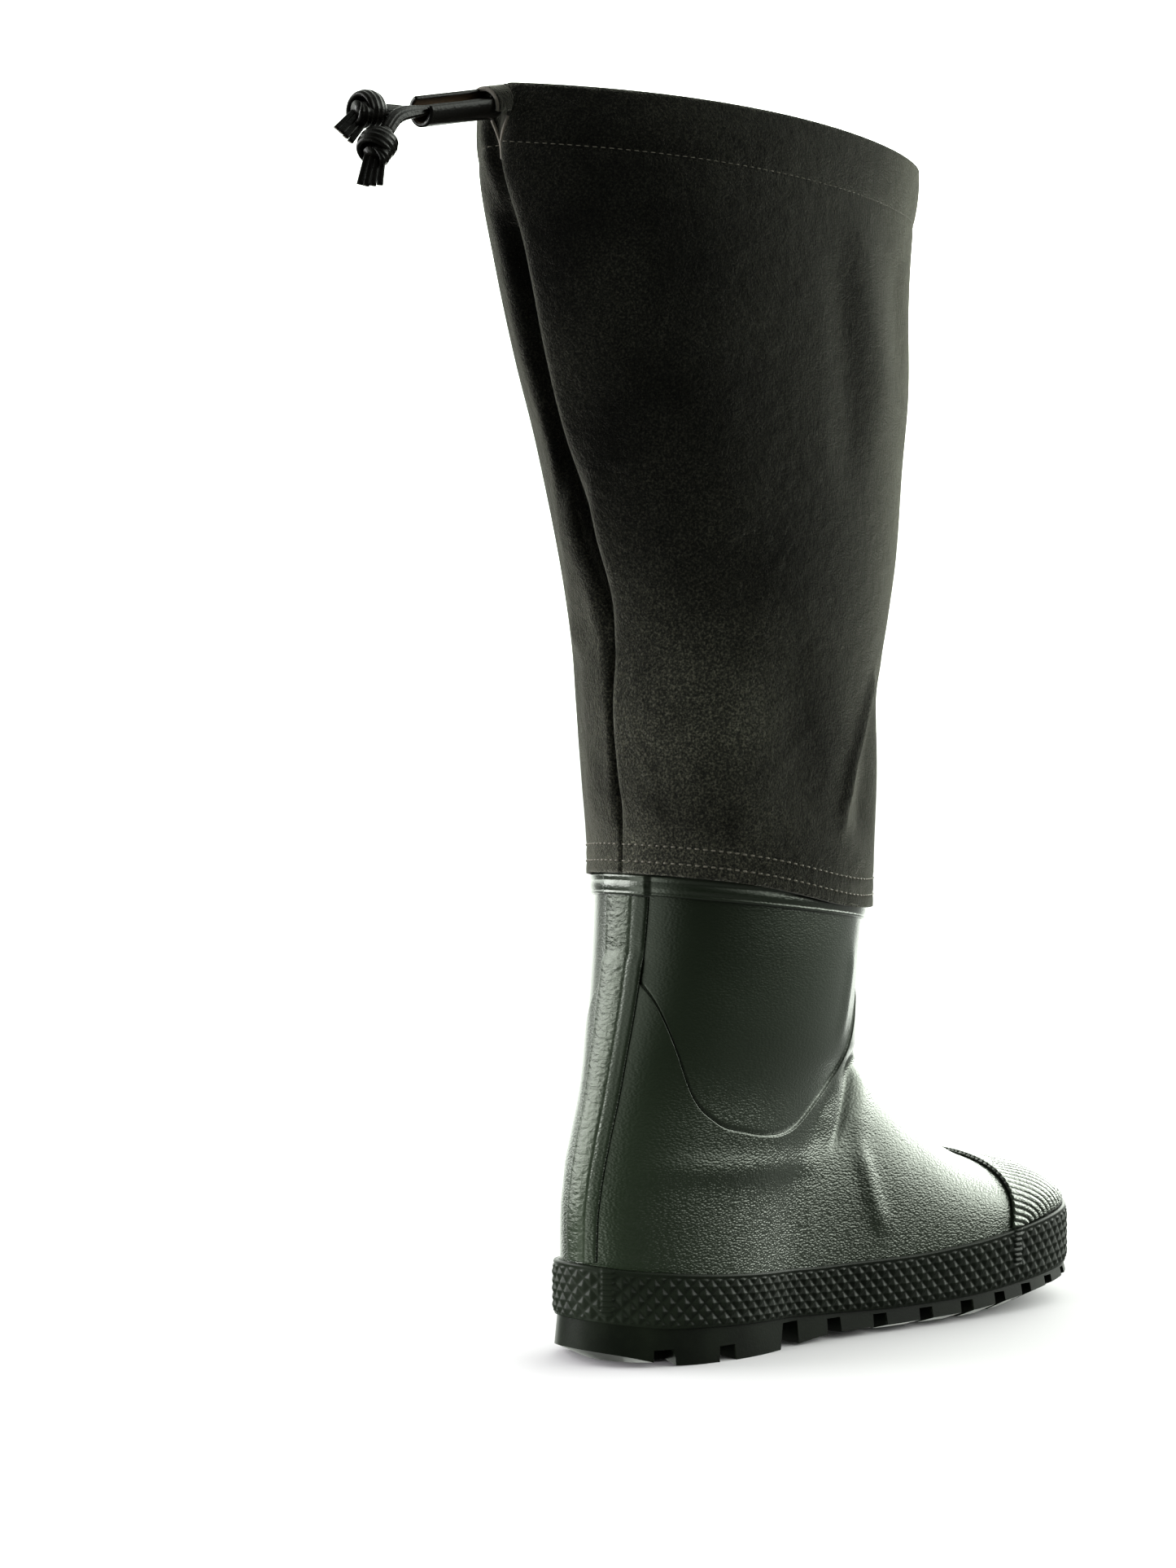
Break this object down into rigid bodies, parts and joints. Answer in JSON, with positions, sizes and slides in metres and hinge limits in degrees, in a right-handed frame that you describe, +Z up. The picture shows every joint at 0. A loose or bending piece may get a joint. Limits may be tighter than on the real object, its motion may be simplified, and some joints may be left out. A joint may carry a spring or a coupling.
{
  "type": "rubber boot with suede shaft",
  "caption": "Tall right boot: a vulcanised rubber foot on a lugged sole with diamond foxing and ribbed toe cap, a suede shaft sewn to its top and a leather drawstring at the rim",
  "frame": {"origin": "on the floor, in the middle of the flat tread of the heel", "axes": "+X points to the toe, -Y to the outer side of the foot, +Z up"},
  "size_m": [0.4332, 0.145, 0.528],
  "materials": {
    "green_rubber": "satin",
    "black_rubber": "satin",
    "grey_suede": "matte",
    "black_leather": "satin",
    "grey_felt": "matte"
  },
  "bodies": {
    "root": {"outsole": "black_rubber", "insole": "grey_felt", "upper": "green_rubber", "foxing": "black_rubber", "toe_cap": "green_rubber", "back_strip": "green_rubber", "top_band": "green_rubber", "shaft": "grey_suede", "lace_outer": "black_leather", "lace_inner": "black_leather", "knot_outer": "black_leather", "knot_inner": "black_leather", "lace_slider": "black_leather"}
  },
  "joints": []
}
